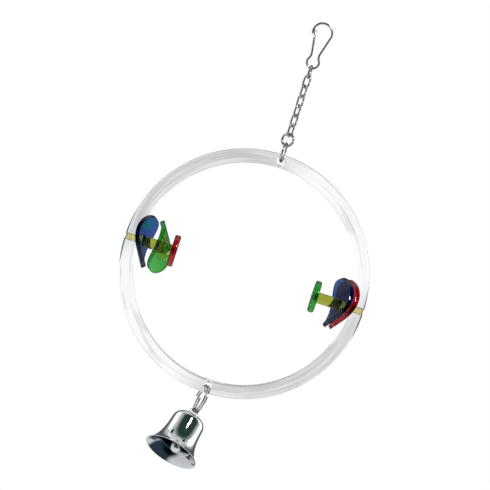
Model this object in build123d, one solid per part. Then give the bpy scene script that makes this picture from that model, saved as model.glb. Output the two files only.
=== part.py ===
from build123d import *
import math
import os

os.makedirs("parts", exist_ok=True)

# Bird swing hung from a cage bar: millimetres and degrees, +Z up, the viewer on the -Y side.
# The perch ring stands in the XZ plane. The origin is where the bar bears on the clip's top bend.

# Fits shared by all pieces
LINK_GAP = 0.12      # between two wires that hang in each other
SEAT_GAP = 0.2       # between a ring's wire and the rim of the hole that it hangs in
TIP_GAP = 0.45       # between the split ring and the bell's eye, which tips on it
GLUE_GAP = 0.05      # round a tenon or stem that is glued or pressed in
DISC_GAP = 0.3       # between a loose disc and its neighbours
CUT_OVERRUN = 4.0    # how far every cutter runs past what it cuts
QUARTER_TURN = 90.0

# Cage clip, one bent spring wire
CLIP_WIRE = 1.6
CLIP_HEIGHT = 33.2           # between the centre lines of the top and bottom bends
CLIP_LOOP_RADIUS = 6.9
CLIP_FOOT_RADIUS = 4.3
CLIP_WAIST = 5.6             # between the centre lines of the two sides
CLIP_WAIST_RADIUS = 6.0
GATE_GAP = 0.2               # between the gate and the nose that it springs against
GATE_TIP = 1.2               # straight end of the gate past the nose
GATE_OPENING = 20.0
GATE_RELIEF = 4.0            # extra angle of the notch where the wire bends

# Chain
LINK_WIRE = 1.5
LINK_LENGTH = 7.4            # inside length
LINK_WIDTH = 3.2             # inside width
LINK_TURNS = (72.0, -32.0, 48.0, -42.0, 48.0, -42.0, 50.0)   # one for each link, about the vertical
JUMP_WIRE = 1.8
JUMP_RADIUS = 4.4
JUMP_TURN = -30.0
HANGER_WIRE = 1.6
HANGER_RADIUS = 6.9
HANGER_TURN = 78.0
RING_SLIT = 4.0              # angle left open between a bent ring's two ends

# Perch
PERCH_RADIUS = 84.0          # to the middle of the rod
PERCH_ROD = 10.0
PERCH_HOLE = 6.0

# Pins and their caps
PIN_SHANK = 8.0
PIN_LENGTH = 24.0            # from the perch to the cap
PIN_TENON = 5.0
PIN_PERCH_TENON = 9.3        # tenon length in the perch
PIN_CAP_TENON = 2.4          # tenon length in the cap
CAP_DIAMETER = 23.0
CAP_THICKNESS = 4.4
CAP_ROUNDING = 1.3

# Bent discs
DISC_DIAMETER = 39.0         # of the flat blank
DISC_THICKNESS = 3.0
DISC_BEND = 26.0             # bend radius at mid thickness
DISC_SLACK = 2.0             # how much wider a disc's hole is than the pin
DISC_SECTIONS = 13
DISC_END_ANGLE = 81.0        # the blank's rim ends in a short flat past this angle
LEFT_OUTER_INSET = 0.7       # from the perch's inner side to a disc's crown
LEFT_INNER_INSET = 18.1
RIGHT_OUTER_INSET = 0.75
LEFT_OUTER_ROCK = 13.0       # lean of a disc's crown on the pin
LEFT_INNER_ROCK = 14.5
RIGHT_ROCK = -13.0
LEFT_INNER_FACING = 180.0    # the left inner disc is strung with its crown towards the cap
LEFT_OUTER_TURN = 114.0      # turn about the pin from arms towards the viewer
LEFT_INNER_TURN = 114.0
RIGHT_TURN = 69.0

# Split ring that the bell hangs on
SPLIT_WIRE = 1.2
SPLIT_RADIUS = 10.4
SPLIT_PITCH = 1.64           # from one turn to the next
SPLIT_TURNS = 2
SPLIT_TURN = 12.0
SPLIT_LEAN = 9.0             # to the viewer's left
BELL_TIP = 25.5              # mouth towards the viewer
BELL_TIP_TURN = -9.0         # about the vertical, from straight towards the viewer

# Bell
BELL_HEIGHT = 31.0
BELL_CROWN_RADIUS = 12.0
BELL_MOUTH_RADIUS = 20.0
BELL_SHOULDER = 6.0
BELL_WALL = 1.0
BELL_FLARE_SHARES = ((0.05, 0.40), (0.18, 0.80))
EYE_WIRE = 1.5
EYE_RADIUS = 3.0
INNER_EYE_WIRE = 1.2
INNER_EYE_RADIUS = 1.8
CLAPPER_WIRE = 1.0
CLAPPER_LOOP_RADIUS = 1.6
CLAPPER_LENGTH = 18.4        # from the inner eye's wire to the middle of the ball
CLAPPER_BALL = 8.8

# Heights worked out down the chain, each at the middle of a wire
clip_top = CLIP_WIRE / 2
clip_bottom = clip_top - CLIP_HEIGHT
link_span = LINK_LENGTH + LINK_WIRE
link_tops = []
hook = clip_bottom
hook_wire = CLIP_WIRE
for turn in LINK_TURNS:
    link_tops.append(hook + (hook_wire + LINK_WIRE) / 2 + LINK_GAP)
    hook = link_tops[-1] - link_span
    hook_wire = LINK_WIRE
jump_top = hook + (LINK_WIRE + JUMP_WIRE) / 2 + LINK_GAP
jump_bottom = jump_top - 2 * JUMP_RADIUS
hanger_top = jump_bottom + (JUMP_WIRE + HANGER_WIRE) / 2 + LINK_GAP
hanger_bottom = hanger_top - 2 * HANGER_RADIUS

rod_radius = PERCH_ROD / 2
hole_radius = PERCH_HOLE / 2


def seat_offset(ring_radius, wire, stack, turn):
    """How far a ring's wire stands from a hole's axis, half way through, when it bears on the rim."""
    climb = 1 + math.asin(rod_radius / ring_radius) / math.pi
    sideways = stack / 2 * climb + rod_radius * math.sin(math.radians(turn))
    room = hole_radius - wire / 2 - SEAT_GAP
    rise = ring_radius - math.sqrt(ring_radius ** 2 - rod_radius ** 2)
    return math.sqrt(room ** 2 - sideways ** 2) - rise


top_hole = hanger_bottom - seat_offset(HANGER_RADIUS, HANGER_WIRE, 0, QUARTER_TURN - HANGER_TURN)
perch_middle = top_hole - PERCH_RADIUS
low_hole = perch_middle - PERCH_RADIUS
split_drop = SPLIT_RADIUS + seat_offset(SPLIT_RADIUS, SPLIT_WIRE, SPLIT_PITCH, SPLIT_TURN)
strand_room = EYE_RADIUS - EYE_WIRE / 2 - SPLIT_WIRE / 2 - TIP_GAP
eye_lift = EYE_RADIUS - math.sqrt(strand_room ** 2 - (SPLIT_PITCH / 2) ** 2)

# Places of what hangs under the perch
hanger_place = Pos(0, 0, low_hole) * Rot(0, SPLIT_LEAN, 0)
eye_top = eye_lift - split_drop - SPLIT_RADIUS
bell_tip = Rot(0, 0, BELL_TIP_TURN) * Rot(-BELL_TIP, 0, 0) * Rot(0, 0, -BELL_TIP_TURN)
bell_place = hanger_place * Pos(0, 0, eye_top) * bell_tip
bell_crown = -2 * EYE_RADIUS - EYE_WIRE / 2
inner_eye_top = bell_crown - BELL_WALL - INNER_EYE_WIRE
inner_eye_bottom = inner_eye_top - 2 * INNER_EYE_RADIUS
clapper_place = bell_place * Pos(0, 0, inner_eye_bottom) * bell_tip.inverse()


def on_circle(centre, radius, angle):
    """Point of a circle in the XZ plane, the angle in radians from +X towards +Z."""
    x, z = centre
    return Vector(x + radius * math.cos(angle), 0, z + radius * math.sin(angle))


def arc(centre, radius, start, end):
    """Arc in the XZ plane from one angle to another."""
    angles = (start, (start + end) / 2, end)
    return ThreePointArc(*[on_circle(centre, radius, angle) for angle in angles])


def cross_tangent(upper, upper_radius, lower, lower_radius):
    """Angle on the upper circle where a line leaves it to pass the lower one on its other side."""
    across = lower[0] - upper[0]
    down = lower[1] - upper[1]
    lean = math.acos((upper_radius + lower_radius) / math.hypot(across, down))
    return math.atan2(down, across) + lean


def wire_along(edges, diameter):
    """Round wire swept along edges that run on from each other."""
    path = Wire(edges)
    section = Plane(origin=path @ 0, z_dir=path % 0) * Circle(diameter / 2)
    return sweep(section, path)


def upright_ring(radius, wire, slit=0):
    """Ring of round wire in the XZ plane, its slit, if any, at the viewer's right."""
    return Rot(90, slit / 2, 0) * Torus(radius, wire / 2, major_angle=360 - slit)


# Clip: the loop, right side and foot are one run of wire, and the gate goes on from the foot's left
loop_middle = (0, clip_top - CLIP_LOOP_RADIUS)
foot_middle = (0, clip_bottom + CLIP_FOOT_RADIUS)
waist_reach = CLIP_WAIST / 2 + CLIP_WAIST_RADIUS
foot_to_waist = CLIP_FOOT_RADIUS + CLIP_WAIST_RADIUS
waist_rise = math.sqrt(foot_to_waist ** 2 - waist_reach ** 2)
waist_middle = (waist_reach, foot_middle[1] + waist_rise)
foot_angle = math.atan2(waist_rise, waist_reach)
gate_hinge = on_circle(foot_middle, CLIP_FOOT_RADIUS, math.pi)


def clip_body():
    """Nose, loop, straight side, waist and foot of the clip."""
    leave = cross_tangent(loop_middle, CLIP_LOOP_RADIUS, waist_middle, CLIP_WAIST_RADIUS)
    side_top = on_circle(loop_middle, CLIP_LOOP_RADIUS, leave)
    side_foot = on_circle(waist_middle, CLIP_WAIST_RADIUS, leave + math.pi)
    edges = [
        arc(loop_middle, CLIP_LOOP_RADIUS, math.pi - leave, leave),
        Line(side_top, side_foot),
        arc(waist_middle, CLIP_WAIST_RADIUS, leave + math.pi, foot_angle + math.pi),
        arc(foot_middle, CLIP_FOOT_RADIUS, foot_angle, -math.pi),
    ]
    nose = on_circle(loop_middle, CLIP_LOOP_RADIUS, math.pi - leave)
    return wire_along(edges, CLIP_WIRE) + Pos(nose) * Sphere(CLIP_WIRE / 2)


def clip_gate():
    """Springy side of the clip: it ends inside the nose, and a notch at its foot lets it swing in."""
    inside = CLIP_LOOP_RADIUS - CLIP_WIRE - GATE_GAP
    leave = cross_tangent(loop_middle, inside, waist_middle, CLIP_WAIST_RADIUS)
    left_waist = (-waist_middle[0], waist_middle[1])
    side_foot = on_circle(left_waist, CLIP_WAIST_RADIUS, -leave)
    meet = on_circle(loop_middle, inside, math.pi - leave)
    tip = meet + (meet - side_foot).normalized() * GATE_TIP
    edges = [
        arc(foot_middle, CLIP_FOOT_RADIUS, math.pi, math.pi - foot_angle),
        arc(left_waist, CLIP_WAIST_RADIUS, -foot_angle, -leave),
        Line(side_foot, tip),
    ]
    gate = wire_along(edges, CLIP_WIRE) + Pos(tip) * Sphere(CLIP_WIRE / 2)
    side = CLIP_WIRE + CUT_OVERRUN
    below = (Align.CENTER, Align.CENTER, Align.MAX)
    inner_below = (Align.MIN, Align.CENTER, Align.MAX)
    seam = Pos(gate_hinge + Vector(0, 0, GLUE_GAP)) * Box(side, side, side, align=below)
    swing = Rot(0, -(GATE_OPENING + GATE_RELIEF), 0)
    notch = Pos(gate_hinge + Vector(0, 0, GLUE_GAP)) * swing * Box(side, side, side, align=inner_below)
    return gate - seam - notch


def chain_link(top, turn):
    """Oval link hanging from a height, turned about the vertical."""
    bend = (LINK_WIDTH + LINK_WIRE) / 2
    upper = (0, top - bend)
    lower = (0, top - link_span + bend)
    edges = [
        arc(upper, bend, 0, math.pi),
        Line(on_circle(upper, bend, math.pi), on_circle(lower, bend, math.pi)),
        arc(lower, bend, math.pi, 2 * math.pi),
        Line(on_circle(lower, bend, 0), on_circle(upper, bend, 0)),
    ]
    return Rot(0, 0, turn) * wire_along(edges, LINK_WIRE)


def perch_ring():
    """Clear rod bent to a ring: four quarters, each drilled at its middle, two inwards and two to the back."""
    depth = PERCH_ROD + 2 * CUT_OVERRUN
    section = Pos(PERCH_RADIUS, 0, 0) * Rot(0, 0, 45) * Circle(rod_radius)
    quarter = Rot(0, -45, 0) * revolve(section, Axis.Y, revolution_arc=90)
    inwards = Pos(PERCH_RADIUS, 0, 0) * Rot(0, 90, 0) * Cylinder(PIN_TENON / 2 + GLUE_GAP, depth)
    through = Pos(PERCH_RADIUS, 0, 0) * Rot(90, 0, 0) * Cylinder(hole_radius, depth)
    pair = (quarter - inwards) + Rot(0, 90, 0) * (quarter - through)
    return Pos(0, 0, perch_middle) * (pair + Rot(0, 180, 0) * pair)


# Pins, caps and discs are made for the right side, with +X out towards the perch, and placed by side
perch_face = math.sqrt((PERCH_RADIUS - rod_radius) ** 2 - (PIN_SHANK / 2) ** 2) - GLUE_GAP
cap_face = perch_face - PIN_LENGTH
SIDES = {"left": Pos(0, 0, perch_middle) * Rot(0, 0, 180), "right": Pos(0, 0, perch_middle)}
from_face = (Align.CENTER, Align.CENTER, Align.MIN)


def pin():
    """Peg with a long tenon for the perch and a short one for the cap."""
    along = Pos(cap_face, 0, 0) * Rot(0, 90, 0)
    shank = along * Cylinder(PIN_SHANK / 2, PIN_LENGTH, align=from_face)
    whole = PIN_CAP_TENON + PIN_LENGTH + PIN_PERCH_TENON
    return shank + along * Pos(0, 0, -PIN_CAP_TENON) * Cylinder(PIN_TENON / 2, whole, align=from_face)


def cap():
    """Button with rounded edges and a blind socket for the pin."""
    along = Pos(cap_face, 0, 0) * Rot(0, -90, 0) * Pos(0, 0, GLUE_GAP)
    button = Cylinder(CAP_DIAMETER / 2, CAP_THICKNESS, align=from_face)
    rims = button.edges().filter_by(GeomType.CIRCLE)
    button = fillet(rims, CAP_ROUNDING)
    socket = Cylinder(PIN_TENON / 2 + GLUE_GAP, PIN_CAP_TENON + GLUE_GAP, align=from_face)
    return along * (button - socket)


def bent_disc():
    """Round blank bent about the Y axis: crown at the origin facing +X, arms towards +Z and -Z."""
    blank = DISC_DIAMETER / 2
    axis = DISC_BEND + DISC_THICKNESS / 2
    sections = []
    for index in range(DISC_SECTIONS):
        way = math.radians(DISC_END_ANGLE) * (2 * index / (DISC_SECTIONS - 1) - 1)
        turn = blank * math.sin(way) / DISC_BEND
        out = Vector(math.cos(turn), 0, math.sin(turn))
        middle = out * DISC_BEND - Vector(axis, 0, 0)
        plane = Plane(origin=middle, x_dir=out, z_dir=(-out.Z, 0, out.X))
        sections.append(plane * Rectangle(DISC_THICKNESS, 2 * blank * math.cos(way)))
    hole = PIN_SHANK + DISC_SLACK
    bore = Rot(0, 90, 0) * Cylinder(hole / 2, DISC_THICKNESS + 2 * CUT_OVERRUN)
    return loft(sections) - bore


# How far one disc stands inside the other when their arms nest
bend_inner = DISC_BEND - DISC_THICKNESS / 2
bend_outer = DISC_BEND + DISC_THICKNESS / 2
arm_angle = DISC_DIAMETER / 2 / DISC_BEND
tip_out = bend_inner * math.sin(arm_angle)
nest_step = math.sqrt((bend_outer + DISC_GAP) ** 2 - tip_out ** 2) - bend_inner * math.cos(arm_angle)


def disc_place(side, inset, rock, turn):
    """Place of a loose disc on its pin: its crown's distance from the perch, its lean and its turn."""
    middle = PERCH_RADIUS - rod_radius - inset - DISC_THICKNESS / 2
    lean = Rot(0, 0, rock) * Pos(DISC_THICKNESS / 2, 0, 0)
    return SIDES[side] * Pos(middle, 0, 0) * Rot(QUARTER_TURN + turn, 0, 0) * lean


right_inset = RIGHT_OUTER_INSET + nest_step / math.cos(math.radians(RIGHT_ROCK))
disc_places = {
    "left_outer_disc": disc_place("left", LEFT_OUTER_INSET, LEFT_OUTER_ROCK, LEFT_OUTER_TURN),
    "left_inner_disc": disc_place("left", LEFT_INNER_INSET, LEFT_INNER_FACING + LEFT_INNER_ROCK, LEFT_INNER_TURN),
    "right_outer_disc": disc_place("right", RIGHT_OUTER_INSET, RIGHT_ROCK, RIGHT_TURN),
    "right_inner_disc": disc_place("right", right_inset, RIGHT_ROCK, RIGHT_TURN),
}


def biarc(start, start_way, end, end_way):
    """Two arcs that leave one point and reach the next along the given unit directions."""
    span = end - start
    ways = start_way + end_way
    spread = 2 * (1 - start_way.dot(end_way))
    reach = (math.sqrt(span.dot(ways) ** 2 + spread * span.dot(span)) - span.dot(ways)) / spread
    first = start + start_way * reach
    second = end - end_way * reach
    middle = (first + second) / 2
    return [TangentArc(start, middle, tangent=start_way), TangentArc(middle, end, tangent=second - first)]


def coil_point(angle):
    """Point of the split ring's coil, and the way it runs there, in radians from its middle at the back."""
    rise = SPLIT_PITCH / (2 * math.pi)
    point = Vector(rise * angle, SPLIT_RADIUS * math.cos(angle), SPLIT_RADIUS * math.sin(angle))
    way = Vector(rise, -SPLIT_RADIUS * math.sin(angle), SPLIT_RADIUS * math.cos(angle))
    return point, way.normalized()


def split_ring():
    """Two turns of wire, a biarc to each quarter turn, tilted so that both turns hang level in the hole."""
    quarters = 4 * SPLIT_TURNS
    stops = [coil_point(math.pi / 2 * (index - quarters / 2)) for index in range(quarters + 1)]
    edges = []
    for index in range(quarters):
        edges += biarc(*stops[index], *stops[index + 1])
    tilt = math.degrees(math.atan(SPLIT_PITCH / 4 / SPLIT_RADIUS))
    coil = wire_along(edges, SPLIT_WIRE)
    print("split ring, least gap between turns:", round(SPLIT_PITCH - SPLIT_WIRE, 3), "mm")
    return hanger_place * Pos(0, 0, -split_drop) * Rot(0, 0, SPLIT_TURN) * Rot(0, tilt, 0) * coil


def bell_eye():
    """Outer eye, shank through the crown and inner eye, in one piece."""
    shank_length = -2 * EYE_RADIUS - inner_eye_top
    shank = Pos(0, 0, inner_eye_top) * Cylinder(INNER_EYE_WIRE / 2, shank_length, align=from_face)
    eye = Pos(0, 0, -EYE_RADIUS) * upright_ring(EYE_RADIUS, EYE_WIRE)
    inner = Pos(0, 0, inner_eye_top - INNER_EYE_RADIUS) * upright_ring(INNER_EYE_RADIUS, INNER_EYE_WIRE)
    return bell_place * (eye + shank + inner)


def bell_outline(inset):
    """Half outline of the bell from the axis to the mouth, moved in by a wall's thickness."""
    crown = bell_crown - inset
    shoulder_middle = (BELL_CROWN_RADIUS - BELL_SHOULDER, bell_crown - BELL_SHOULDER)
    bend = BELL_SHOULDER - inset
    drop = BELL_HEIGHT - BELL_SHOULDER
    flare = BELL_MOUTH_RADIUS - BELL_CROWN_RADIUS
    side = Vector(BELL_CROWN_RADIUS - inset, 0, shoulder_middle[1])
    controls = [side + Vector(flare * out, 0, -drop * down) for out, down in BELL_FLARE_SHARES]
    return [
        Line((0, 0, crown), on_circle(shoulder_middle, bend, math.pi / 2)),
        arc(shoulder_middle, bend, math.pi / 2, 0),
        Bezier(side, *controls, side + Vector(flare, 0, -drop)),
    ]


def bell_shell():
    """Pressed bell: flat crown, round shoulder and a side that flares to the mouth."""
    outer = bell_outline(0)
    inner = bell_outline(BELL_WALL)
    lip = Line(outer[-1] @ 1, inner[-1] @ 1)
    axis_line = Line(inner[0] @ 0, outer[0] @ 0)
    shell = revolve(make_face(outer + [lip] + inner + [axis_line]), Axis.Z)
    bore = Pos(0, 0, bell_crown) * Cylinder(INNER_EYE_WIRE / 2 + GLUE_GAP, BELL_WALL + 2 * CUT_OVERRUN)
    return bell_place * (shell - bore)


def clapper_stem():
    """Wire loop on the inner eye with the stem that carries the ball."""
    lift = (INNER_EYE_WIRE + CLAPPER_WIRE) / 2 + LINK_GAP
    loop = Rot(0, 0, 90) * upright_ring(CLAPPER_LOOP_RADIUS, CLAPPER_WIRE)
    start = lift - 2 * CLAPPER_LOOP_RADIUS
    stem = Pos(0, 0, -CLAPPER_LENGTH) * Cylinder(CLAPPER_WIRE / 2, start + CLAPPER_LENGTH, align=from_face)
    return clapper_place * (Pos(0, 0, lift - CLAPPER_LOOP_RADIUS) * loop + stem)


def clapper_ball():
    """Ball drilled to its middle and pressed on the stem."""
    ball = Sphere(CLAPPER_BALL / 2)
    bore = Pos(0, 0, -GLUE_GAP) * Cylinder(CLAPPER_WIRE / 2 + GLUE_GAP, CLAPPER_BALL, align=from_face)
    return clapper_place * Pos(0, 0, -CLAPPER_LENGTH) * (ball - bore)


nodes = {"clip_body": clip_body(), "clip_gate": clip_gate()}
for index, turn in enumerate(LINK_TURNS):
    nodes[f"chain_link_{index + 1}"] = chain_link(link_tops[index], turn)
jump = Pos(0, 0, jump_top - JUMP_RADIUS) * Rot(0, 0, JUMP_TURN)
nodes["jump_ring"] = jump * upright_ring(JUMP_RADIUS, JUMP_WIRE, RING_SLIT)
hanger = Pos(0, 0, hanger_top - HANGER_RADIUS) * Rot(0, 0, HANGER_TURN)
nodes["hanger_ring"] = hanger * upright_ring(HANGER_RADIUS, HANGER_WIRE, RING_SLIT)
nodes["perch_ring"] = perch_ring()
for side, place in SIDES.items():
    nodes[f"{side}_pin"] = place * pin()
    nodes[f"{side}_cap"] = place * cap()
for name, place in disc_places.items():
    nodes[name] = place * bent_disc()
nodes["split_ring"] = split_ring()
nodes["bell_eye"] = bell_eye()
nodes["bell_shell"] = bell_shell()
nodes["clapper_stem"] = clapper_stem()
nodes["clapper_ball"] = clapper_ball()

for name, shape in nodes.items():
    export_step(shape, f"parts/{name}.step")
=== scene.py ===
"""Bird swing: a clear ring perch on a clip and chain, bent discs on pins, and a bell below."""

from __future__ import annotations

import logging
import math
from dataclasses import dataclass, field
from enum import Enum
from typing import Any, Iterable, Sequence

import bpy
from mathutils import Matrix, Vector

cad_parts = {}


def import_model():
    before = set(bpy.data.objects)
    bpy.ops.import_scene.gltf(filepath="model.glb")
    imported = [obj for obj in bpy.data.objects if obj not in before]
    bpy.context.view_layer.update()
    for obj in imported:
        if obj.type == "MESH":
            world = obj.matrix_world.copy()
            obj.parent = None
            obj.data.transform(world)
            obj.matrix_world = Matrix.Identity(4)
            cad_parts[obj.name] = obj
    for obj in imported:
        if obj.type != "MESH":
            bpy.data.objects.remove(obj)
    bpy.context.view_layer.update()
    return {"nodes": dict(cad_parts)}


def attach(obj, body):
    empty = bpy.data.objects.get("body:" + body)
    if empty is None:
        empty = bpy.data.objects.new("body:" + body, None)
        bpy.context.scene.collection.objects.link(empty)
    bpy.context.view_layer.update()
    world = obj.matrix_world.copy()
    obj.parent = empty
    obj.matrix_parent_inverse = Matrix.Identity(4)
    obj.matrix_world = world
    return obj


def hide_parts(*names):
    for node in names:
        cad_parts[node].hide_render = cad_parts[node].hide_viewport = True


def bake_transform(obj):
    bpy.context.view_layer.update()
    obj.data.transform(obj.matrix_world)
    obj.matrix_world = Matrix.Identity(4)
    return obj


log = logging.getLogger("bird_swing")

IMAGE_PIXELS = 490.0
MM = 0.001

# The perch: its ring to the middle of the rod, the height of its middle, and the pins' way in
PERCH_RADIUS = 84.0 * MM
PERCH_MIDDLE = -185.884 * MM
ROD_RADIUS = 5.0 * MM
PERCH_INNER = PERCH_RADIUS - ROD_RADIUS

# Meshes: doubles nearer than this are one point, and edges look smooth up to one angle in
# degrees and are rounded from another
MERGE_DISTANCE = 0.002 * MM
SMOOTH_TO = 35.0
ROUNDED_FROM = 50.0

# Marks on faces that a finish reads
# The bell's inside faces carry this mark, and get painted shade and painted reflections
INSIDE_MARK = "inside"
CEMENT_MARK = "cement"

Colour = tuple[float, float, float]
Place = tuple[float, float, float]
Band = tuple[float, float]


class Value:
    """A number that varies over a surface: the output of a node, used in plain sums."""

    def __init__(self, recipe: "Recipe", socket: bpy.types.NodeSocket) -> None:
        """Args: recipe: the nodes that it belongs to. socket: the output that it stands for."""
        self.recipe = recipe
        self.socket = socket

    def _math(self, operation: str, first: Any, second: Any) -> "Value":
        """Adds one Math node.

        Args:
            operation: the Math node's operation.
            first: its first number or value.
            second: its second number or value.

        Returns:
            The node's result.
        """
        sides = {0: first, 1: second}
        return self.recipe.node("ShaderNodeMath", {"operation": operation}, sides).value()

    def __add__(self, other: Any) -> "Value":
        """Sum."""
        return self._math("ADD", self, other)

    def __radd__(self, other: Any) -> "Value":
        """Sum with a number on the left."""
        return self._math("ADD", other, self)

    def __sub__(self, other: Any) -> "Value":
        """Difference."""
        return self._math("SUBTRACT", self, other)

    def __rsub__(self, other: Any) -> "Value":
        """Difference from a number on the left."""
        return self._math("SUBTRACT", other, self)

    def __mul__(self, other: Any) -> "Value":
        """Product."""
        return self._math("MULTIPLY", self, other)

    def __rmul__(self, other: Any) -> "Value":
        """Product with a number on the left."""
        return self._math("MULTIPLY", other, self)

    def __pow__(self, other: Any) -> "Value":
        """Power."""
        return self._math("POWER", self, other)

    def __rpow__(self, other: Any) -> "Value":
        """Power of a number on the left."""
        return self._math("POWER", other, self)

    def angle_to(self, other: "Value") -> "Value":
        """Angle in radians of the point whose sine side is this and cosine side is the other."""
        return self._math("ARCTAN2", self, other)

    def cosine(self) -> "Value":
        """Cosine of an angle in radians."""
        return self._math("COSINE", self, 0.0)

    def most(self, other: Any) -> "Value":
        """The larger of two."""
        return self._math("MAXIMUM", self, other)


class MadeNode:
    """A node that a recipe has made, with its outputs by name."""

    def __init__(self, recipe: "Recipe", node: bpy.types.Node) -> None:
        """Args: recipe: the nodes that it belongs to. node: the node itself."""
        self.recipe = recipe
        self.raw = node

    def out(self, name: int | str = 0) -> bpy.types.NodeSocket:
        """One of the node's outputs."""
        return self.raw.outputs[name]

    def value(self, name: int | str = 0) -> Value:
        """One of the node's outputs, ready for sums."""
        return Value(self.recipe, self.out(name))


class Recipe:
    """The nodes of one material or of the world."""

    def __init__(self, tree: bpy.types.NodeTree) -> None:
        """Args: tree: the node tree to fill, which is emptied first."""
        self.tree = tree
        tree.nodes.clear()

    def node(self, kind: str, settings: dict[str, Any] | None = None,
             inputs: dict[int | str, Any] | None = None) -> MadeNode:
        """Makes any node.

        Args:
            kind: Blender's name for the node's type.
            settings: properties to set first.
            inputs: numbers, colours, values or outputs for its sockets.

        Returns:
            The new node.
        """
        node = self.tree.nodes.new(kind)
        for name, setting in (settings or {}).items():
            setattr(node, name, setting)
        for name, given in (inputs or {}).items():
            self._feed(node.inputs[name], given)
        return MadeNode(self, node)

    def _feed(self, socket: bpy.types.NodeSocket, given: Any) -> None:
        """Links a socket to a value or an output, or else sets it.

        Args:
            socket: the input to feed.
            given: a number, colour, value or output.
        """
        source = given.socket if isinstance(given, Value) else given
        if isinstance(source, bpy.types.NodeSocket):
            self.tree.links.new(source, socket)
        else:
            socket.default_value = source

    def coordinates(self, kind: str = "Object") -> bpy.types.NodeSocket:
        """Texture coordinates of one kind."""
        return self.node("ShaderNodeTexCoord").out(kind)

    def axes(self) -> tuple[Value, Value, Value]:
        """The piece's own coordinates, one value for each axis."""
        split = self.node("ShaderNodeSeparateXYZ", None, {0: self.coordinates()})
        return split.value("X"), split.value("Y"), split.value("Z")

    def mark(self, name: str) -> Value:
        """A mark that faces carry: 1 on the marked ones, 0 on the rest."""
        return self.node("ShaderNodeAttribute", {"attribute_name": name}).value("Fac")

    def noise(self, scale: float, detail: float, where: bpy.types.NodeSocket | None = None) -> Value:
        """Noise between 0 and 1.

        Args:
            scale: grains to the metre.
            detail: how many finer layers it has.
            where: coordinates, or None for the piece's own.

        Returns:
            The noise.
        """
        place = self.coordinates() if where is None else where
        inputs = {"Vector": place, "Scale": scale, "Detail": detail}
        return self.node("ShaderNodeTexNoise", None, inputs).value("Fac")

    def rise(self, amount: Value, start: float, end: float) -> Value:
        """Soft step from 0 to 1 as an amount passes from start to end."""
        return self.node("ShaderNodeMapRange", {"interpolation_type": "SMOOTHSTEP"}, {
            "Value": amount, "From Min": start, "From Max": end,
        }).value()

    def between(self, share: Value, low: Any, high: Any) -> bpy.types.NodeSocket:
        """Colour between two others.

        Args:
            share: 0 for the first colour, 1 for the second.
            low: the first colour, or the output that gives it.
            high: the second colour, or the output that gives it.

        Returns:
            The mixed colour's output.
        """
        first, second = (
            (*given, 1.0) if isinstance(given, tuple) else given for given in (low, high)
        )
        inputs = {0: share, 6: first, 7: second}
        return self.node("ShaderNodeMix", {"data_type": "RGBA"}, inputs).out(2)

    def bump(self, height: Value, strength: float, distance: float) -> bpy.types.NodeSocket:
        """Normal raised by a height.

        Args:
            height: the height, 0 to 1.
            strength: share of the full effect.
            distance: height in metres of a full step.

        Returns:
            The normal's output.
        """
        inputs = {"Strength": strength, "Distance": distance, "Height": height}
        return self.node("ShaderNodeBump", None, inputs).out()


def new_material(name: str) -> tuple[bpy.types.Material, Recipe]:
    """Makes an empty node material.

    Args:
        name: the material's name.

    Returns:
        The material and its recipe.
    """
    material = bpy.data.materials.new(name)
    material.use_nodes = True
    return material, Recipe(material.node_tree)


@dataclass(frozen=True)
class PlatedMetal:
    """Nickel plate over wire or sheet, with uneven polish and fine handling marks."""

    name: str
    pale: Colour
    dull: Colour
    roughness: float
    unevenness: float
    grain: float
    marks: float
    mark_depth: float = 0.1 * MM
    fine_detail: float = 2.0
    cloud_detail: float = 4.0
    cloud_grain: float = 0.12
    cloud_share: float = 0.7

    def colour(self, recipe: Recipe, tarnish: Value) -> bpy.types.NodeSocket:
        """The plate, darker where it is tarnished."""
        return recipe.between(tarnish, self.pale, self.dull)

    def material(self) -> bpy.types.Material:
        """Makes the finish's material.

        Returns:
            The material.
        """
        material, recipe = new_material(self.name)
        clouds = recipe.noise(self.grain * self.cloud_grain, self.cloud_detail)
        fine = recipe.noise(self.grain, self.fine_detail)
        tarnish = clouds * self.cloud_share + fine * (1.0 - self.cloud_share)
        shader = recipe.node("ShaderNodeBsdfPrincipled", None, {
            "Base Color": self.colour(recipe, tarnish),
            "Metallic": 1.0,
            "Roughness": self.roughness + self.unevenness * tarnish,
            "Normal": recipe.bump(fine, self.marks, self.mark_depth),
        })
        recipe.node("ShaderNodeOutputMaterial", None, {"Surface": shader.out()})
        return material


@dataclass(frozen=True)
class BellPlate(PlatedMetal):
    """Plate of the bell, with painted shade and painted reflections as dark and pale patches inside the
    mouth.
    """

    # Painted shade and painted reflections inside the mouth, as dark navy and near-white patches
    painted_shade_inside: Colour = (0.030, 0.042, 0.070)
    painted_reflection_inside: Colour = (0.82, 0.83, 0.84)
    patch_grain: float = 48.0
    patch_detail: float = 1.0
    patch_band: Band = (0.44, 0.60)

    def colour(self, recipe: Recipe, tarnish: Value) -> bpy.types.NodeSocket:
        """The plate, with patches of painted shade and painted reflection where the faces are marked as the
        inside.

        Args:
            recipe: the material's nodes.
            tarnish: how dull the plate is, 0 to 1.

        Returns:
            The colour's output.
        """
        # Painted shade and painted reflection: noise patches between dark navy and near white on the inside
        # faces
        painted_patches = recipe.rise(recipe.noise(self.patch_grain, self.patch_detail), *self.patch_band)
        inside = recipe.between(painted_patches, self.painted_shade_inside, self.painted_reflection_inside)
        return recipe.between(recipe.mark(INSIDE_MARK), super().colour(recipe, tarnish), inside)


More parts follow.
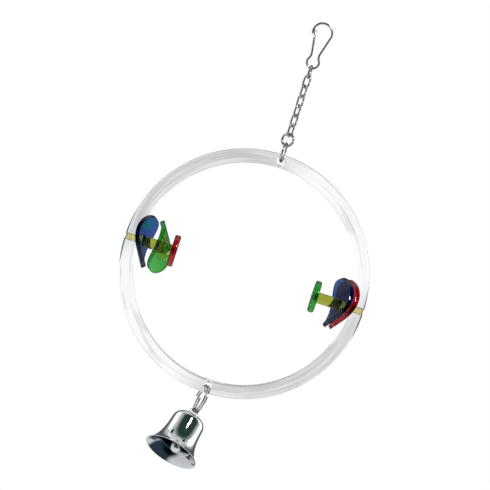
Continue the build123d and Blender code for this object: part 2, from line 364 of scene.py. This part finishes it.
@dataclass(frozen=True)
class CastAcrylic:
    """Polished acrylic that light passes through, tinted in the mass."""

    name: str
    tint: Colour
    mass_colour: Colour
    mass_density: float
    roughness: float = 0.03
    grain: float = 160.0
    waviness: float = 0.05
    wave_depth: float = 0.4 * MM
    wave_detail: float = 2.0
    wave_gain: float = 1.12
    wave_lift: float = 0.01
    scuff_grain: float = 9.0
    scuff_detail: float = 3.0
    scuff_contrast: float = 3.0
    scuff_gain: float = 2.0
    refraction: float = 1.49

    def colour(self, recipe: Recipe, waves: Value) -> bpy.types.NodeSocket:
        """The tint, a little paler in waves.

        Args:
            recipe: the material's nodes.
            waves: the surface's waves, 0 to 1.

        Returns:
            The colour's output.
        """
        paler = tuple(min(1.0, part * self.wave_gain + self.wave_lift) for part in self.tint)
        return recipe.between(waves, self.tint, paler)

    def cover(self, recipe: Recipe) -> float | Value:
        """How much of the surface shows."""
        return 1.0

    def material(self) -> bpy.types.Material:
        """Makes the finish's material.

        Returns:
            The material.
        """
        material, recipe = new_material(self.name)
        waves = recipe.noise(self.grain, self.wave_detail)
        scuffs = recipe.noise(self.grain * self.scuff_grain, self.scuff_detail)
        scuffed = self.roughness * self.scuff_gain
        shader = recipe.node("ShaderNodeBsdfPrincipled", None, {
            "Base Color": self.colour(recipe, waves),
            "Roughness": self.roughness + scuffed * scuffs ** self.scuff_contrast,
            "Transmission Weight": 1.0,
            "IOR": self.refraction,
            "Alpha": self.cover(recipe),
            "Normal": recipe.bump(waves, self.waviness, self.wave_depth),
        })
        mass = recipe.node("ShaderNodeVolumeAbsorption", None, {
            "Color": (*self.mass_colour, 1.0),
            "Density": self.mass_density,
        })
        surface = {"Surface": shader.out(), "Volume": mass.out()}
        recipe.node("ShaderNodeOutputMaterial", None, surface)
        return material


@dataclass(frozen=True)
class PinAcrylic(CastAcrylic):
    """Acrylic of a pin, whose thin end is paler and half lost where it is cemented into the ring."""

    set_in: float = PERCH_INNER + 0.2 * MM
    set_blur: float = 0.4 * MM
    pale_end: Colour = (0.86, 0.84, 0.20)
    lost: float = 0.45

    def _set_end(self, recipe: Recipe) -> Value:
        """Finds the end that is set into the ring.

        Args:
            recipe: the material's nodes.

        Returns:
            1 on that end, 0 on the rest.
        """
        x = recipe.axes()[0]
        out = x.most(x * -1.0)
        return recipe.rise(out, self.set_in - self.set_blur, self.set_in + self.set_blur)

    def colour(self, recipe: Recipe, waves: Value) -> bpy.types.NodeSocket:
        """The tint, with the set end paler."""
        tint = super().colour(recipe, waves)
        return recipe.between(self._set_end(recipe), tint, self.pale_end)

    def cover(self, recipe: Recipe) -> float | Value:
        """All of the surface, less what is lost where the set end melts into the cement."""
        return 1.0 - self.lost * self._set_end(recipe)


@dataclass(frozen=True)
class RodAcrylic(CastAcrylic):
    """Drawn rod bent to a ring, with flow lines along it, and painted light that makes two opposite sides
    near white.
    """

    stretch: float = 0.035
    line_grain: float = 620.0
    line_detail: float = 2.0
    line_tint: Colour = (0.84, 0.845, 0.85)
    line_band: Band = (0.36, 0.66)
    # Painted light: the angle about which two opposite sides of the ring turn near white, its colour and its
    # spread
    painted_light_side: float = math.radians(47.0)
    painted_light_tint: Colour = (0.995, 0.995, 0.995)
    painted_light_band: Band = (-0.3, 0.6)
    hair_tint: Colour = (0.70, 0.705, 0.71)
    hair_band: Band = (0.34, 0.42)

    def colour(self, recipe: Recipe, waves: Value) -> bpy.types.NodeSocket:
        """Grey lines on two sides of the ring, and on the other two painted light: near-white acrylic with
        hairlines.

        Args:
            recipe: the material's nodes.
            waves: the surface's waves, which don't show beside the lines.

        Returns:
            The colour's output.
        """
        x, y, z = recipe.axes()
        up = z - PERCH_MIDDLE
        reach = (x * x + up * up) ** 0.5
        around = x.angle_to(up)
        along = around * (PERCH_RADIUS * self.stretch)
        place = recipe.node("ShaderNodeCombineXYZ", None, {0: along, 1: reach, 2: y}).out()
        flow = recipe.noise(self.line_grain, self.line_detail, place)
        grey = recipe.between(recipe.rise(flow, *self.line_band), self.tint, self.line_tint)
        clear = recipe.between(recipe.rise(flow, *self.hair_band), self.hair_tint, self.painted_light_tint)
        # Painted light: near white on two opposite sides of the ring, grey with flow lines on the other two
        sides = (2.0 * around - 2.0 * self.painted_light_side).cosine()
        return recipe.between(recipe.rise(sides, *self.painted_light_band), grey, clear)

    def cover(self, recipe: Recipe) -> float | Value:
        """All of the surface, less the walls that are lost in cement."""
        return 1.0 - recipe.mark(CEMENT_MARK)


class Finish(Enum):
    """Every finish on the swing."""

    WIRE = PlatedMetal(
        "nickel_wire", pale=(0.84, 0.83, 0.82), dull=(0.20, 0.19, 0.18),
        roughness=0.08, unevenness=0.14, grain=1800.0, marks=0.25,
    )
    BELL = BellPlate(
        "polished_bell", pale=(0.90, 0.92, 0.91), dull=(0.80, 0.82, 0.81),
        roughness=0.03, unevenness=0.06, grain=900.0, marks=0.04,
    )
    CLEAR = RodAcrylic(
        "clear_acrylic", tint=(0.58, 0.585, 0.59), mass_colour=(0.78, 0.80, 0.82), mass_density=8.0,
        roughness=0.02, grain=60.0,
    )
    YELLOW = PinAcrylic(
        "yellow_acrylic", tint=(0.42, 0.48, 0.12), mass_colour=(0.72, 0.68, 0.08), mass_density=150.0,
    )
    RED = CastAcrylic(
        "red_acrylic", tint=(0.42, 0.016, 0.040), mass_colour=(0.80, 0.08, 0.12), mass_density=80.0,
    )
    GREEN = CastAcrylic(
        "green_acrylic", tint=(0.035, 0.38, 0.045), mass_colour=(0.16, 0.66, 0.14), mass_density=60.0,
    )
    BLUE = CastAcrylic(
        "blue_acrylic", tint=(0.015, 0.085, 0.33), mass_colour=(0.06, 0.20, 0.50), mass_density=140.0,
    )


class Paint:
    """Makes each finish's material once, and puts it on pieces."""

    def __init__(self) -> None:
        """Starts with no material made."""
        self.made: dict[Finish, bpy.types.Material] = {}

    def put(self, piece: bpy.types.Object, finish: Finish) -> None:
        """Dresses a piece.

        Args:
            piece: the mesh to dress.
            finish: what it is made of.
        """
        if finish not in self.made:
            self.made[finish] = finish.value.material()
        piece.data.materials.clear()
        piece.data.materials.append(self.made[finish])


class Bench:
    """Modelling bench: one mesh at a time, shaped in edit mode with Blender's own tools."""

    def __init__(self, name: str) -> None:
        """Args: name: the new piece's name."""
        self.name = name
        self.piece: bpy.types.Object | None = None
        bpy.ops.object.select_all(action="DESELECT")

    def _hold(self) -> None:
        """Takes the active object in hand, and names it and its mesh."""
        self.piece = bpy.context.object
        self.piece.name = self.name
        self.piece.data.name = self.name

    def _begin(self) -> None:
        """Takes the primitive just added, applies its place and selects all of it in edit mode."""
        self._hold()
        bpy.ops.object.transform_apply(location=True, rotation=True, scale=True)
        bpy.ops.object.mode_set(mode="EDIT")
        bpy.ops.mesh.select_mode(type="VERT")
        bpy.ops.mesh.select_all(action="SELECT")

    def _select(self) -> None:
        """Selects this piece alone and makes it the active one."""
        bpy.ops.object.select_all(action="DESELECT")
        self.piece.select_set(True)
        bpy.context.view_layer.objects.active = self.piece

    def ring(self, radius: float, sides: int, middle: Vector, facing: Vector) -> None:
        """Starts from a circle of edges.

        Args:
            radius: its radius.
            sides: how many edges it has.
            middle: its middle.
            facing: the way its flat side faces.
        """
        turned = facing.to_track_quat("Z", "Y").to_euler()
        bpy.ops.mesh.primitive_circle_add(
            vertices=sides, radius=radius, location=middle, rotation=turned
        )
        self._begin()

    def point(self, place: Vector) -> None:
        """Starts from a single point, which is a plane drawn together.

        Args:
            place: where the point is.
        """
        bpy.ops.mesh.primitive_plane_add(size=MM, location=place)
        self._begin()
        bpy.ops.mesh.merge(type="CENTER")

    def push(self, step: Vector) -> None:
        """Extrudes what is selected along a step."""
        bpy.ops.mesh.extrude_region_move(TRANSFORM_OT_translate={"value": tuple(step)})

    def draw_in(self, share: float) -> None:
        """Extrudes what is selected in place and scales the new edges about the origin."""
        self.push(Vector())
        bpy.ops.transform.resize(value=(share, share, share), center_override=(0.0, 0.0, 0.0))

    def sweep(self, middle: Vector, axis: Vector, angle: float, steps: int) -> None:
        """Spins what is selected about an axis, by the right-hand rule.

        Args:
            middle: a point of the axis.
            axis: its direction.
            angle: how far, in radians.
            steps: in how many steps.
        """
        bpy.ops.mesh.spin(steps=steps, angle=-angle, center=tuple(middle), axis=tuple(axis))

    def merge(self) -> None:
        """Selects everything and merges doubles."""
        bpy.ops.mesh.select_all(action="SELECT")
        bpy.ops.mesh.remove_doubles(threshold=MERGE_DISTANCE)

    def close(self, fill: bool) -> None:
        """Merges doubles, points the faces outwards and leaves edit mode.

        Args:
            fill: whether open ends are capped.
        """
        self.merge()
        if fill:
            bpy.ops.mesh.fill_holes(sides=0)
        bpy.ops.mesh.normals_make_consistent(inside=False)
        bpy.ops.object.mode_set(mode="OBJECT")

    def modify(self, kind: str, **settings: Any) -> None:
        """Adds a modifier and applies it.

        Args:
            kind: the modifier's type.
            settings: its settings.
        """
        modifier = self.piece.modifiers.new(kind.lower(), kind)
        for name, setting in settings.items():
            setattr(modifier, name, setting)
        bpy.ops.object.modifier_apply(modifier=modifier.name)

    def soften(self, width: float, segments: int, from_angle: float) -> None:
        """Rounds every edge that is sharper than an angle in degrees."""
        self.modify("BEVEL", width=width, segments=segments, limit_method="ANGLE",
                    angle_limit=math.radians(from_angle))

    def settle(self, place: Matrix) -> bpy.types.Object:
        """Puts the piece in its place, with the place in its mesh, and smooths it.

        Args:
            place: where it goes.

        Returns:
            The finished piece.
        """
        self.piece.matrix_world = place
        bpy.ops.object.transform_apply(location=True, rotation=True, scale=True)
        bpy.ops.object.shade_smooth_by_angle(angle=math.radians(SMOOTH_TO))
        return self.piece

    def copy(self, name: str) -> "Bench":
        """Copies the piece with a mesh of its own.

        Args:
            name: the copy's name.

        Returns:
            A bench with the copy on it.
        """
        other = Bench(name)
        self._select()
        bpy.ops.object.duplicate(linked=False)
        other._hold()
        return other

    def clear(self) -> None:
        """Takes the piece off the bench, once it has been copied."""
        self._select()
        bpy.ops.object.delete()


def mark_faces(mesh: bpy.types.Mesh, name: str, marks: Iterable[bool]) -> None:
    """Marks some of a mesh's faces, for a finish to read.

    Args:
        mesh: the mesh.
        name: the mark's name.
        marks: whether each face carries it, in order.
    """
    attribute = mesh.attributes.new(name, "FLOAT", "FACE")
    attribute.data.foreach_set("value", [float(mark) for mark in marks])


def stand_for(piece: bpy.types.Object, node: str, body: str) -> None:
    """Hides the solid that a piece stands for, and makes the piece move with its body.

    Args:
        piece: the finished piece.
        node: the solid that it replaces.
        body: the body that it rides on.
    """
    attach(piece, body)
    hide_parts(node)
    log.info("modelled %s", piece.name)


@dataclass(frozen=True)
class Arc:
    """Arc of a wire in the XZ plane, the angle counted from +X towards +Z."""

    middle: Vector
    angle: float


WireRun = Vector | Arc

UPWARD = Vector((0.0, 0.0, 1.0))
TURNING_AXIS = Vector((0.0, -1.0, 0.0))

# Bent wire: the section's sides, the widest and the fewest steps of a bend, and the ends' trim
WIRE_SIDES = 20
WIRE_STEP = math.radians(8.0)
LEAST_STEPS = 3
TRIM_SHARE = 0.16
TRIM_SEGMENTS = 2


def bend_wire(name: str, diameter: float, start: Vector, facing: Vector,
              runs: Sequence[WireRun]) -> Bench:
    """Pushes a round section along straight runs and arcs, and trims both ends.

    Args:
        name: the piece's name.
        diameter: the wire's diameter.
        start: the middle of its first end.
        facing: the way it sets off.
        runs: its straight steps and arcs.

    Returns:
        The bench with the wire on it.
    """
    bench = Bench(name)
    bench.ring(diameter / 2.0, WIRE_SIDES, start, facing)
    for run in runs:
        if isinstance(run, Arc):
            steps = max(LEAST_STEPS, math.ceil(abs(run.angle) / WIRE_STEP))
            bench.sweep(run.middle, TURNING_AXIS, run.angle, steps)
        else:
            bench.push(run)
    bench.close(fill=True)
    bench.soften(diameter * TRIM_SHARE, TRIM_SEGMENTS, ROUNDED_FROM)
    return bench


@dataclass(frozen=True)
class RoundRing:
    """One ring below the chain: its wire and radius, its height and its turn in degrees."""

    body: str
    wire: float
    radius: float
    height: float
    turn: float


@dataclass
class Chain:
    """Seven bent links, each with the seam where its wire's ends meet, and the two rings below."""

    wire: float = 1.5 * MM
    inside_length: float = 7.4 * MM
    inside_width: float = 3.2 * MM
    play: float = 0.12 * MM
    seam: float = 0.14 * MM
    first_top: float = -30.73 * MM
    turns: tuple[float, ...] = (72.0, -32.0, 48.0, -42.0, 48.0, -42.0, 50.0)
    slit: float = math.radians(4.0)
    rings: tuple[RoundRing, ...] = (
        RoundRing("jump", wire=1.8 * MM, radius=4.4 * MM, height=-85.94 * MM, turn=-28.0),
        RoundRing("hanger", wire=1.6 * MM, radius=6.9 * MM, height=-95.42 * MM, turn=80.0),
    )

    def build(self, paint: Paint) -> None:
        """Models the links and rings.

        Args:
            paint: what dresses them.
        """
        pattern = self._link("link_pattern")
        drop = self.inside_length - self.play
        for index, turn in enumerate(self.turns):
            number = index + 1
            place = self._place(self.first_top - drop * index, turn)
            link = pattern.copy(f"bent_link_{number}").settle(place)
            paint.put(link, Finish.WIRE)
            stand_for(link, f"chain_link_{number}", f"link_{number}")
        pattern.clear()
        for ring in self.rings:
            piece = self._ring(ring).settle(self._place(ring.height, ring.turn))
            paint.put(piece, Finish.WIRE)
            stand_for(piece, f"{ring.body}_ring", ring.body)

    @staticmethod
    def _place(height: float, turn: float) -> Matrix:
        """Where a link or ring hangs: its height, and its turn about the chain in degrees."""
        lift = Matrix.Translation((0.0, 0.0, height))
        return lift @ Matrix.Rotation(math.radians(turn), 4, "Z")

    def _link(self, name: str) -> Bench:
        """Bends one oval link with its top at the origin, begun and ended at its seam.

        Args:
            name: the link's name.

        Returns:
            The bench with the link on it.
        """
        bend = (self.inside_width + self.wire) / 2.0
        low = -(self.inside_length + self.wire)
        middle = low / 2.0
        half = -middle - bend
        start = Vector((bend, 0.0, middle + self.seam / 2.0))
        rise = Vector((0.0, 0.0, half - self.seam / 2.0))
        runs = [
            rise,
            Arc(Vector((0.0, 0.0, -bend)), math.pi),
            Vector((0.0, 0.0, -2.0 * half)),
            Arc(Vector((0.0, 0.0, low + bend)), math.pi),
            rise,
        ]
        return bend_wire(name, self.wire, start, UPWARD, runs)

    def _ring(self, ring: RoundRing) -> Bench:
        """Bends one ring about the origin, open by its slit at the right.

        Args:
            ring: the ring's sizes.

        Returns:
            The bench with the ring on it.
        """
        half = self.slit / 2.0
        start = Vector((ring.radius * math.cos(half), 0.0, ring.radius * math.sin(half)))
        facing = Vector((-math.sin(half), 0.0, math.cos(half)))
        round_about = Arc(Vector(), math.tau - self.slit)
        return bend_wire(f"bent_{ring.body}_ring", ring.wire, start, facing, [round_about])


@dataclass
class ClipGate:
    """The clip's springy side: it bends out of the foot, so it follows the foot below and the gate above."""

    wire: float = 1.6 * MM
    loop_radius: float = 6.9 * MM
    loop_height: float = -6.1 * MM
    foot_radius: float = 4.3 * MM
    foot_height: float = -28.1 * MM
    waist: float = 5.6 * MM
    waist_radius: float = 6.0 * MM
    gap: float = 0.2 * MM
    tip: float = 1.2 * MM
    bending_length: float = 7.0 * MM

    def build(self, paint: Paint) -> None:
        """Models the gate.

        Args:
            paint: what dresses it.
        """
        hinge = Vector((-self.foot_radius, 0.0, self.foot_height))
        gate = bend_wire("sprung_gate", self.wire, hinge, UPWARD, self._runs()).settle(Matrix.Identity(4))
        paint.put(gate, Finish.WIRE)
        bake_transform(gate)
        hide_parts("clip_gate")
        log.info("modelled %s", gate.name)

    def _runs(self) -> list[WireRun]:
        """Works out the gate's runs: up round the foot, back through the waist, straight to the hook.

        Returns:
            The runs, from the hinge to the tip.
        """
        reach = self.waist / 2.0 + self.waist_radius
        rise = math.sqrt((self.foot_radius + self.waist_radius) ** 2 - reach ** 2)
        foot_angle = math.atan2(rise, reach)
        waist_middle = Vector((-reach, 0.0, self.foot_height + rise))
        inside = self.loop_radius - self.wire - self.gap
        fall = waist_middle.z - self.loop_height
        lean = math.acos((inside + self.waist_radius) / math.hypot(reach, fall))
        leave = -(math.atan2(fall, reach) + lean)
        side = Vector((math.cos(leave), 0.0, math.sin(leave)))
        side_foot = waist_middle + side * self.waist_radius
        meet = Vector((0.0, 0.0, self.loop_height)) - side * inside
        straight = meet - side_foot
        return [
            Arc(Vector((0.0, 0.0, self.foot_height)), -foot_angle),
            Arc(waist_middle, leave + foot_angle),
            straight + straight.normalized() * (self.tip + self.wire / 2.0),
        ]


@dataclass
class Perch:
    """The clear ring, whose pin holes are full of clear cement, so that their walls don't show."""

    hole_radius: float = 2.55 * MM
    slack: float = 0.05 * MM
    least_facing: float = 0.5

    def build(self, ring: bpy.types.Object, paint: Paint) -> None:
        """Dresses the ring.

        Args:
            ring: the solid's mesh.
            paint: what dresses it.
        """
        mark_faces(ring.data, CEMENT_MARK, map(self._in_pin_hole, ring.data.polygons))
        paint.put(ring, Finish.CLEAR)
        log.info("dressed %s", ring.name)

    def _in_pin_hole(self, face: bpy.types.MeshPolygon) -> bool:
        """Tells whether a face is part of a pin hole's wall, and so faces the pins' axis.

        Args:
            face: one of the ring's faces.

        Returns:
            True for a wall.
        """
        away = Vector((0.0, face.center.y, face.center.z - PERCH_MIDDLE))
        near = away.length < self.hole_radius + self.slack
        return near and away.normalized().dot(face.normal) < -self.least_facing


@dataclass(frozen=True)
class DiscPlace:
    """Where one disc lies on its pin, with its angles in degrees, and its colour."""

    node: str
    side: float
    inset: float
    rock: float
    turn: float
    finish: Finish
    slot: str


@dataclass
class Discs:
    """Round blanks bent over a former, with flame-polished edges."""

    radius: float = 19.5 * MM
    hole_radius: float = 5.0 * MM
    thickness: float = 3.0 * MM
    bend: float = 26.0 * MM
    edge: float = 0.55 * MM
    edge_segments: int = 3
    rim_sides: int = 144
    shares: tuple[float, ...] = (0.97, 0.93, 0.92, 0.91, 0.90, 0.88, 0.85, 0.82, 0.79, 0.80)
    places: tuple[DiscPlace, ...] = (
        DiscPlace("left_outer_disc", side=180.0, inset=0.7 * MM, rock=13.0, turn=114.0,
                  finish=Finish.BLUE, slot="blue_acrylic"),
        DiscPlace("left_inner_disc", side=180.0, inset=18.1 * MM, rock=194.5, turn=114.0,
                  finish=Finish.GREEN, slot="green_acrylic"),
        DiscPlace("right_outer_disc", side=0.0, inset=0.75 * MM, rock=-13.0, turn=69.0,
                  finish=Finish.RED, slot="red_acrylic"),
        DiscPlace("right_inner_disc", side=0.0, inset=5.162 * MM, rock=-13.0, turn=69.0,
                  finish=Finish.BLUE, slot="blue_acrylic"),
    )

    def build(self, paint: Paint) -> None:
        """Models the four discs.

        Args:
            paint: what dresses them.
        """
        pattern = self._blank("disc_pattern")
        for place in self.places:
            disc = pattern.copy(f"bent_{place.node}").settle(self._place(place))
            paint.put(disc, place.finish)
            stand_for(disc, place.node, place.node)
        pattern.clear()

    def _place(self, disc: DiscPlace) -> Matrix:
        """Works out where a disc goes.

        Args:
            disc: its side of the perch, its distance along the pin, its turn and its lean.

        Returns:
            Its place.
        """
        along = PERCH_INNER - disc.inset - self.thickness / 2.0
        return (
            Matrix.Translation((0.0, 0.0, PERCH_MIDDLE))
            @ Matrix.Rotation(math.radians(disc.side), 4, "Z")
            @ Matrix.Translation((along, 0.0, 0.0))
            @ Matrix.Rotation(math.radians(90.0 + disc.turn), 4, "X")
            @ Matrix.Rotation(math.radians(disc.rock), 4, "Z")
        )

    def _blank(self, name: str) -> Bench:
        """Makes a bent disc about the origin: rim drawn in to the hole, thickened, rounded, then bent.

        Args:
            name: the disc's name.

        Returns:
            The bench with the disc on it.
        """
        bench = Bench(name)
        bench.ring(self.radius, self.rim_sides, Vector(), Vector((1.0, 0.0, 0.0)))
        reach = self.radius
        for share in self.shares:
            step = max(share, self.hole_radius / reach)
            bench.draw_in(step)
            reach *= step
        bench.draw_in(self.hole_radius / reach)
        bench.close(fill=False)
        bench.modify("SOLIDIFY", thickness=self.thickness, offset=0.0)
        bench.soften(self.edge, self.edge_segments, ROUNDED_FROM)
        bend_angle = -2.0 * self.radius / self.bend
        bench.modify("SIMPLE_DEFORM", deform_method="BEND", deform_axis="Y", angle=bend_angle)
        return bench


@dataclass
class Bell:
    """Pressed bell: flat crown, round shoulder, flared side and a trimmed, rounded lip."""

    crown: float = -6.75 * MM
    crown_radius: float = 12.0 * MM
    mouth_radius: float = 20.0 * MM
    height: float = 31.0 * MM
    shoulder: float = 6.0 * MM
    wall: float = 1.0 * MM
    bore: float = 0.65 * MM
    crown_step: float = 0.6
    shoulder_steps: int = 9
    flare_steps: int = 18
    flare_shares: tuple[tuple[float, float], ...] = ((0.05, 0.40), (0.18, 0.80))
    turning_steps: int = 128
    lip: float = 0.22 * MM
    lip_segments: int = 3
    lip_edge: float = 28.0
    hole_height: float = PERCH_MIDDLE - PERCH_RADIUS
    eye_drop: float = -18.333 * MM
    lean: float = 9.0
    tip: float = 25.5
    tip_turn: float = -9.0

    def build(self, paint: Paint) -> None:
        """Models the bell by turning its outline about its axis.

        Args:
            paint: what dresses it.
        """
        outline = self._outline(0.0) + list(reversed(self._outline(self.wall)))
        bench = Bench("turned_bell")
        bench.point(outline[0])
        for before, after in zip(outline, outline[1:]):
            bench.push(after - before)
        bench.push(outline[0] - outline[-1])
        bench.merge()
        bench.sweep(Vector(), UPWARD, math.tau, self.turning_steps)
        bench.close(fill=False)
        bench.soften(self.lip, self.lip_segments, self.lip_edge)
        self._mark_inside(bench.piece.data)
        bell = bench.settle(self._place())
        paint.put(bell, Finish.BELL)
        stand_for(bell, "bell_shell", "bell")

    def _mark_inside(self, mesh: bpy.types.Mesh) -> None:
        """Marks the faces that look towards the middle of the mouth, so that their plate gets painted shade
        and painted reflections.

        Args:
            mesh: the bell's mesh, still about the origin.
        """
        mouth = Vector((0.0, 0.0, self.crown - self.height))
        marks = ((face.center - mouth).dot(face.normal) < 0.0 for face in mesh.polygons)
        mark_faces(mesh, INSIDE_MARK, marks)

    def _place(self) -> Matrix:
        """Works out where the bell hangs: leaned with its ring and tipped towards the viewer.

        Returns:
            Its place.
        """
        turn = Matrix.Rotation(math.radians(self.tip_turn), 4, "Z")
        return (
            Matrix.Translation((0.0, 0.0, self.hole_height))
            @ Matrix.Rotation(math.radians(self.lean), 4, "Y")
            @ Matrix.Translation((0.0, 0.0, self.eye_drop))
            @ turn
            @ Matrix.Rotation(math.radians(-self.tip), 4, "X")
            @ turn.inverted()
        )

    def _outline(self, inset: float) -> list[Vector]:
        """Works out the half outline: flat crown, round shoulder, then the flare to the mouth.

        Args:
            inset: how far inside the outer face it runs.

        Returns:
            The points from the bore to the mouth, in the XZ plane.
        """
        top = self.crown - inset
        bend = self.shoulder - inset
        middle = Vector((self.crown_radius - self.shoulder, 0.0, self.crown - self.shoulder))
        points = [Vector((self.bore, 0.0, top)), Vector((middle.x * self.crown_step, 0.0, top))]
        for index in range(self.shoulder_steps + 1):
            angle = math.pi / 2.0 * (1.0 - index / self.shoulder_steps)
            points.append(middle + Vector((math.cos(angle), 0.0, math.sin(angle))) * bend)
        drop = self.height - self.shoulder
        flare = self.mouth_radius - self.crown_radius
        side = Vector((self.crown_radius - inset, 0.0, middle.z))
        first, second = (
            side + Vector((flare * out, 0.0, -drop * down)) for out, down in self.flare_shares
        )
        last = side + Vector((flare, 0.0, -drop))
        for index in range(1, self.flare_steps + 1):
            t = index / self.flare_steps
            start = side * (1.0 - t) ** 3 + first * 3.0 * t * (1.0 - t) ** 2
            points.append(start + second * 3.0 * t ** 2 * (1.0 - t) + last * t ** 3)
        return points


NODE_FINISHES = {
    Finish.WIRE: ["clip_body", "split_ring", "bell_eye", "clapper_stem"],
    Finish.BELL: ["clapper_ball"],
    Finish.YELLOW: ["left_pin", "right_pin"],
    Finish.RED: ["left_cap"],
    Finish.GREEN: ["right_cap"],
}


@dataclass(frozen=True)
class SoftBox:
    """A soft box: where it hangs, its size in metres and its power in watts."""

    name: str
    place: Place
    width: float
    height: float
    power: float


@dataclass(frozen=True)
class Patch:
    """A dark patch of the surroundings, from where it begins to where it is whole, as cosines."""

    direction: Place
    colour: Colour
    begins: float
    whole: float


@dataclass
class Studio:
    """Camera, lights, floor and white surroundings."""

    distance: float = 2.4
    focal_pixels: float = 3380.7
    sensor: float = 36.0
    nearest: float = 0.01
    turn: float = math.radians(-1.0)
    rise: float = math.radians(-0.5)
    roll: float = math.radians(18.0)
    aim: Vector = field(default_factory=lambda: Vector((-0.0058, 0.0, -0.1663)))
    boxes: tuple[SoftBox, ...] = (
        SoftBox("key_light", (0.30, -0.62, 0.42), width=0.07, height=0.30, power=4.0),
        SoftBox("left_light", (-0.80, 0.32, 0.05), width=0.44, height=0.9, power=1.1),
        SoftBox("right_light", (0.80, 0.32, -0.05), width=0.44, height=0.9, power=1.1),
    )
    floor_height: float = -0.58
    floor_radius: float = 0.5
    floor_sides: int = 96
    floor_colour: Colour = (0.86, 0.86, 0.86)
    white: Colour = (1.0, 1.0, 1.0)
    daylight: Colour = (0.95, 0.97, 1.0)
    daylight_strength: float = 0.55
    walls: Colour = (0.60, 0.61, 0.62)
    room: Patch = Patch((0.20, -0.80, 0.57), (0.02, 0.045, 0.042), begins=0.30, whole=0.72)
    backdrop: Patch = Patch((0.0, 1.0, 0.0), (0.09, 0.10, 0.11), begins=0.52, whole=0.82)

    def build(self) -> None:
        """Sets up everything round the swing."""
        bpy.context.scene.view_settings.view_transform = "Standard"
        self._camera()
        for box in self.boxes:
            self._hang(box)
        self._floor()
        self._surroundings()

    def _camera(self) -> None:
        """Places the camera at the photograph's viewing angle."""
        ahead = Vector((
            -math.sin(self.turn) * math.cos(self.rise),
            math.cos(self.turn) * math.cos(self.rise),
            -math.sin(self.rise),
        ))
        right = ahead.cross(UPWARD).normalized()
        up = right.cross(ahead)
        across = right * math.cos(self.roll) + up * math.sin(self.roll)
        upward = up * math.cos(self.roll) - right * math.sin(self.roll)
        lens = bpy.data.cameras.new("camera")
        lens.sensor_width = self.sensor
        lens.lens = self.focal_pixels / IMAGE_PIXELS * self.sensor
        lens.clip_start = self.nearest
        camera = bpy.data.objects.new("camera", lens)
        turned = Matrix((across, upward, -ahead)).transposed().to_4x4()
        camera.matrix_world = Matrix.Translation(self.aim - ahead * self.distance) @ turned
        bpy.context.scene.collection.objects.link(camera)
        bpy.context.scene.camera = camera

    def _hang(self, box: SoftBox) -> None:
        """Hangs a soft box, aimed at the perch.

        Args:
            box: the soft box.
        """
        lamp = bpy.data.lights.new(box.name, "AREA")
        lamp.shape = "RECTANGLE"
        lamp.size = box.width
        lamp.size_y = box.height
        lamp.energy = box.power
        light = bpy.data.objects.new(box.name, lamp)
        place = Vector(box.place)
        turned = (self.aim - place).to_track_quat("-Z", "Y").to_matrix().to_4x4()
        light.matrix_world = Matrix.Translation(place) @ turned
        bpy.context.scene.collection.objects.link(light)

    def _floor(self) -> None:
        """Lays a pale floor under the swing."""
        bpy.ops.object.select_all(action="DESELECT")
        bpy.ops.mesh.primitive_circle_add(
            vertices=self.floor_sides, radius=self.floor_radius, fill_type="NGON",
            location=(0.0, 0.0, self.floor_height),
        )
        floor = bpy.context.object
        floor.name = "floor"
        material, recipe = new_material("pale_floor")
        shader = recipe.node("ShaderNodeBsdfDiffuse", None, {"Color": (*self.floor_colour, 1.0)})
        recipe.node("ShaderNodeOutputMaterial", None, {"Surface": shader.out()})
        floor.data.materials.append(material)

    def _surroundings(self) -> None:
        """Makes the world white to the eye, with walls and dark patches in reflections."""
        world = bpy.data.worlds.new("surroundings")
        bpy.context.scene.world = world
        world.use_nodes = True
        recipe = Recipe(world.node_tree)
        path = recipe.node("ShaderNodeLightPath")
        seen = path.value("Is Camera Ray").most(path.value("Is Transmission Ray"))
        in_room = recipe.between(self._patch(recipe, self.room), self.walls, self.room.colour)
        mirrored = recipe.between(self._patch(recipe, self.backdrop), in_room, self.backdrop.colour)
        plain = self._glow(recipe, (*self.daylight, 1.0), self.daylight_strength)
        reflected = recipe.node("ShaderNodeMixShader", None, {
            0: path.value("Is Glossy Ray"), 1: plain, 2: self._glow(recipe, mirrored),
        })
        mixed = recipe.node("ShaderNodeMixShader", None, {
            0: seen, 1: reflected.out(), 2: self._glow(recipe, (*self.white, 1.0)),
        })
        recipe.node("ShaderNodeOutputWorld", None, {"Surface": mixed.out()})

    @staticmethod
    def _glow(recipe: Recipe, colour: Any, strength: float = 1.0) -> bpy.types.NodeSocket:
        """Light of one colour from all around."""
        inputs = {"Color": colour, "Strength": strength}
        return recipe.node("ShaderNodeBackground", None, inputs).out()

    @staticmethod
    def _patch(recipe: Recipe, patch: Patch) -> Value:
        """Finds a patch of the surroundings.

        Args:
            recipe: the world's nodes.
            patch: the patch.

        Returns:
            0 outside the patch, 1 where it is whole.
        """
        inputs = {0: recipe.coordinates("Generated"), 1: patch.direction}
        along = recipe.node("ShaderNodeVectorMath", {"operation": "DOT_PRODUCT"}, inputs)
        return recipe.rise(along.value("Value"), patch.begins, patch.whole)


def main() -> None:
    """Builds the swing's pieces in order and dresses them."""
    logging.basicConfig(level=logging.INFO)
    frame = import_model()
    paint = Paint()
    for finish, names in NODE_FINISHES.items():
        for name in names:
            paint.put(frame["nodes"][name], finish)
            log.info("dressed %s", name)
    Perch().build(frame["nodes"]["perch_ring"], paint)
    Chain().build(paint)
    ClipGate().build(paint)
    Discs().build(paint)
    Bell().build(paint)
    Studio().build()


if __name__ == "__main__":
    main()
